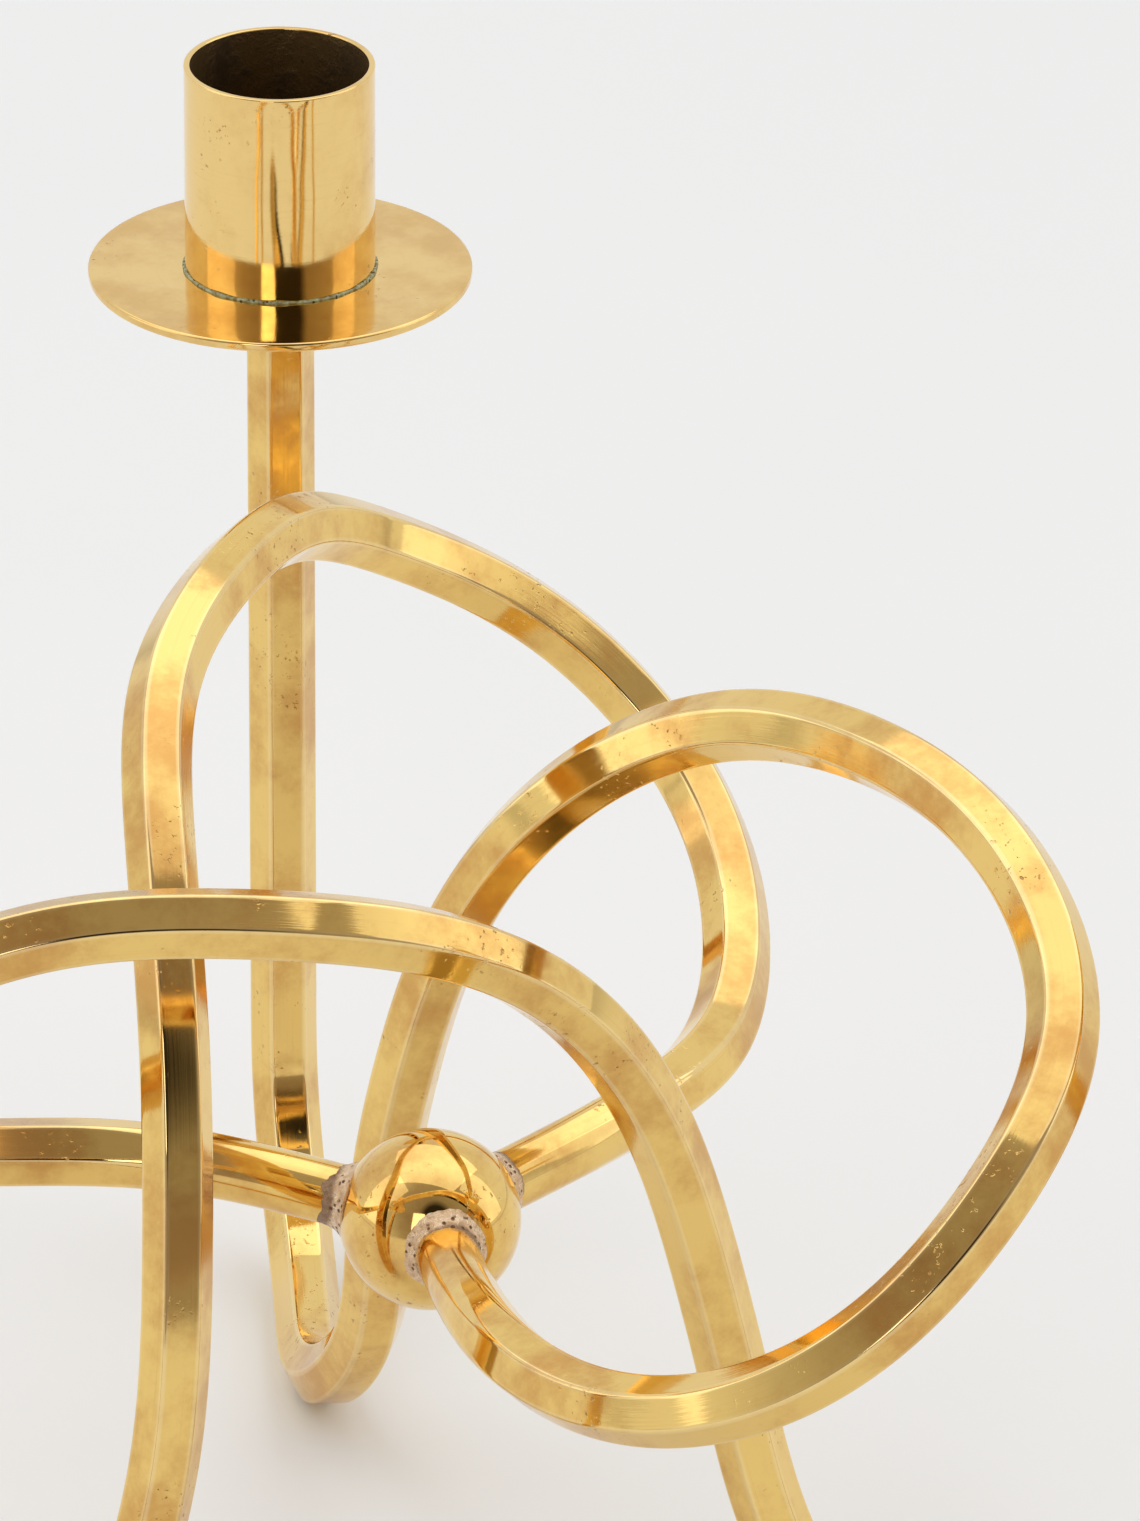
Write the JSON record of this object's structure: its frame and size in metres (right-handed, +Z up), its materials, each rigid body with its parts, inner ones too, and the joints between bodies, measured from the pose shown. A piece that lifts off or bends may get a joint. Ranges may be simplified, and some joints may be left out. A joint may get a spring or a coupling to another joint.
{
  "type": "tabletop candelabra",
  "caption": "Tabletop candelabra: looped hexagonal brass bars brazed to a central ball, each ending in a foot bend and an upright stem with a drip tray and a candle cup.",
  "frame": {"origin": "on the table under the centre of the ball, on the candelabra's vertical three-fold axis", "axes": "+Z up along the axis of the ball; -Y is the front, and arm 1's stem stands at the back"},
  "size_m": [0.2458, 0.2358, 0.1647],
  "materials": {
    "polished_brass": "hand-polished, lightly tarnished",
    "sheet_brass": "turned and polished, dark inside the cup",
    "braze_metal": "rough, pinkish grey, pitted",
    "solder": "dull with green tarnish",
    "screw_brass": "dull machined"
  },
  "bodies": {
    "root": {"ball": "polished_brass", "arm_1": "polished_brass", "braze_1": "braze_metal", "drip_tray_1": "sheet_brass", "candle_cup_1": "sheet_brass", "cup_solder_1": "solder", "cup_screw_1": "screw_brass", "arm_2": "polished_brass", "braze_2": "braze_metal", "drip_tray_2": "sheet_brass", "candle_cup_2": "sheet_brass", "cup_solder_2": "solder", "cup_screw_2": "screw_brass", "arm_3": "polished_brass", "braze_3": "braze_metal", "drip_tray_3": "sheet_brass", "candle_cup_3": "sheet_brass", "cup_solder_3": "solder", "cup_screw_3": "screw_brass"}
  },
  "joints": []
}
